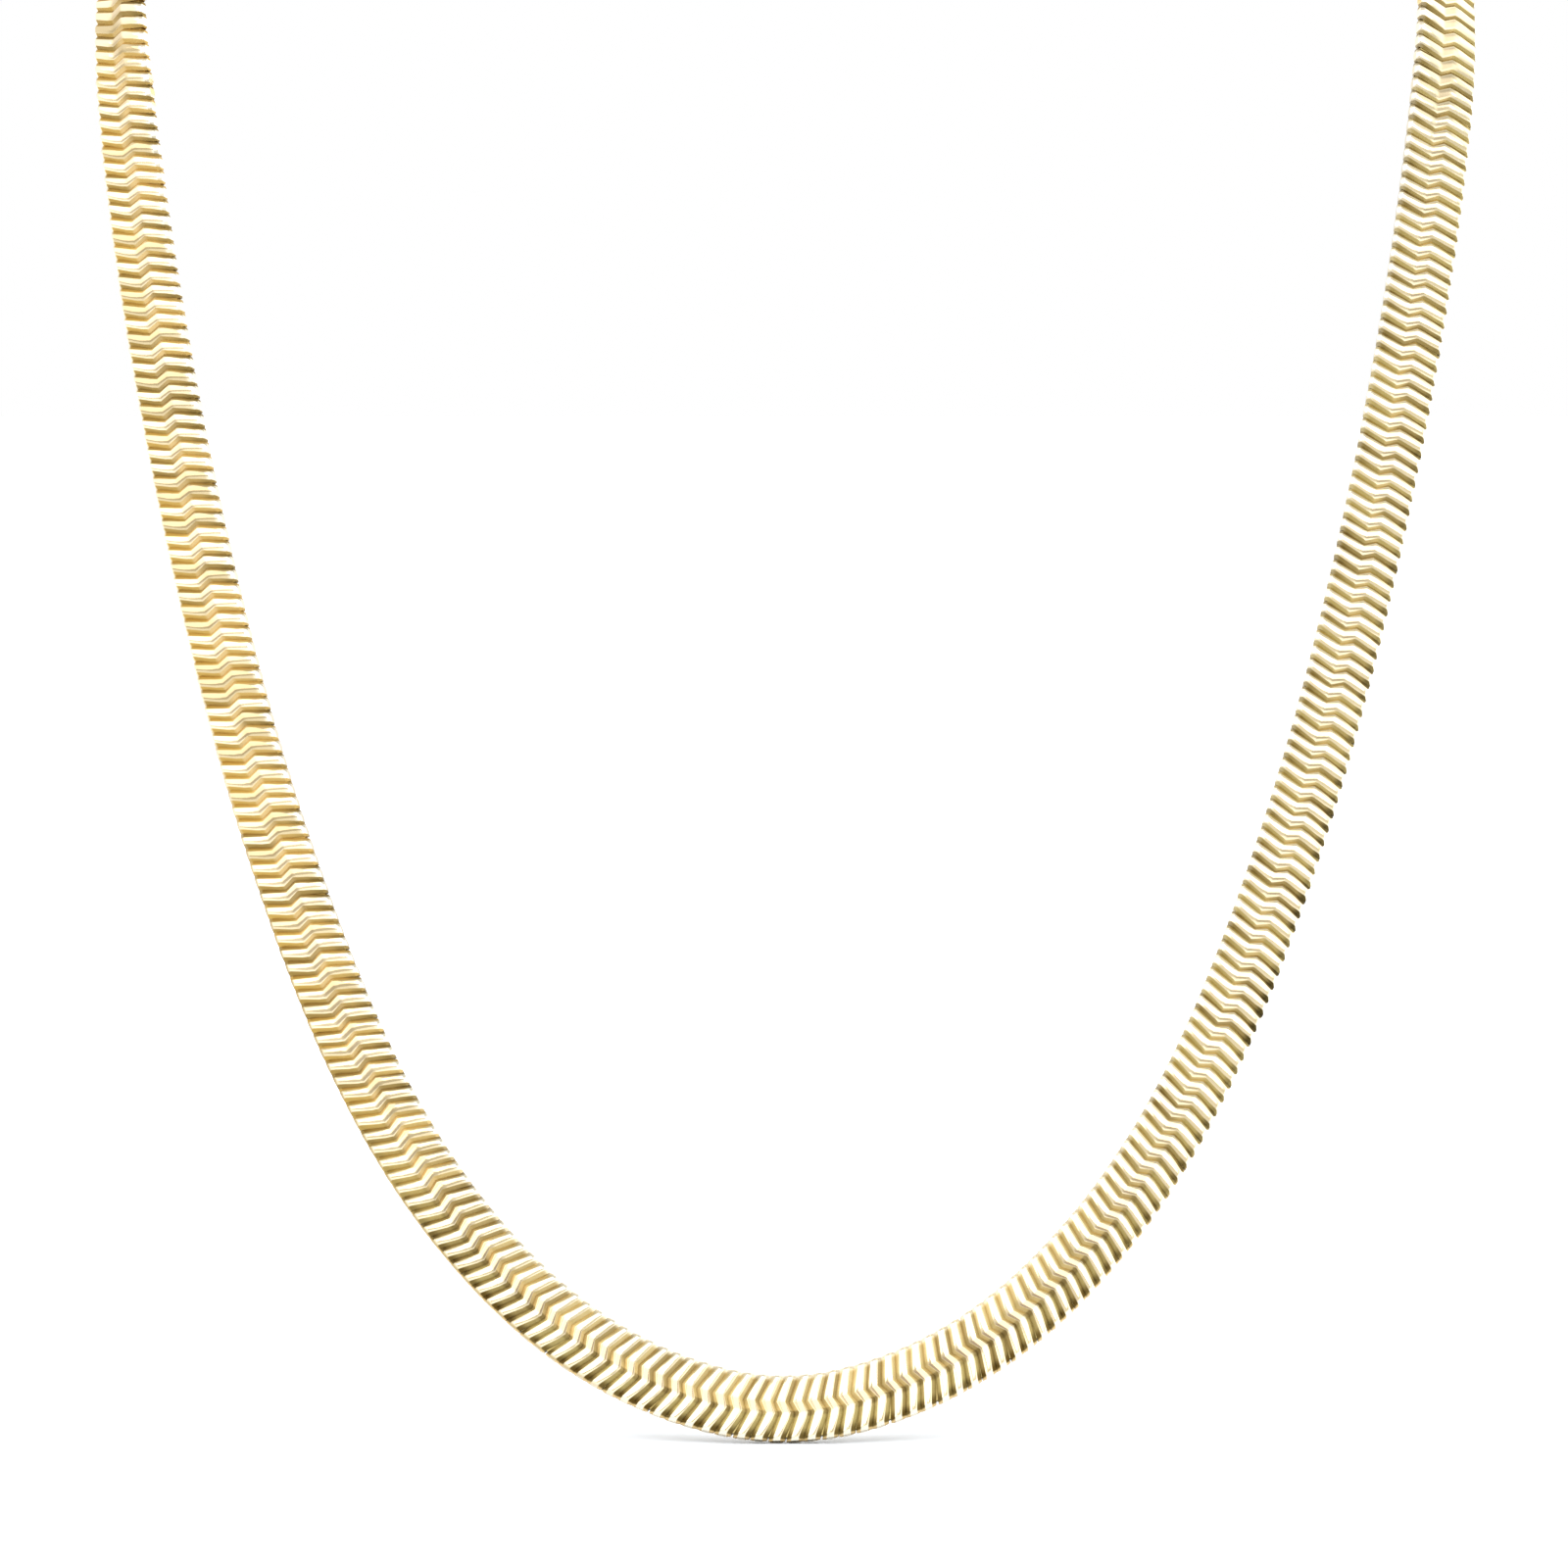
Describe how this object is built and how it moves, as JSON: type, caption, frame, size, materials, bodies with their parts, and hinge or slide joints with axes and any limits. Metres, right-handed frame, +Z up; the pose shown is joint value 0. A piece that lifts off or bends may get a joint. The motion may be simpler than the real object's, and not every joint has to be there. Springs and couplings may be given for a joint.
{
  "type": "flat chain necklace",
  "caption": "Gold-coloured flat snake chain necklace as a closed loop in its worn shape, with a plain clasp at the nape.",
  "frame": {"origin": "middle of the neck opening, level with the chain at the nape", "axes": "+Z up the neck, -Y is the front where the chain hangs lowest, +X is the right as seen from the front"},
  "size_m": [0.118, 0.0878, 0.139],
  "materials": {
    "chain_gold": "polished yellow gold, links with rounded mirror-bright faces",
    "clasp_gold": "polished yellow gold, smooth"
  },
  "bodies": {
    "root": {"flat_chain": "chain_gold", "clasp": "clasp_gold"}
  },
  "joints": []
}
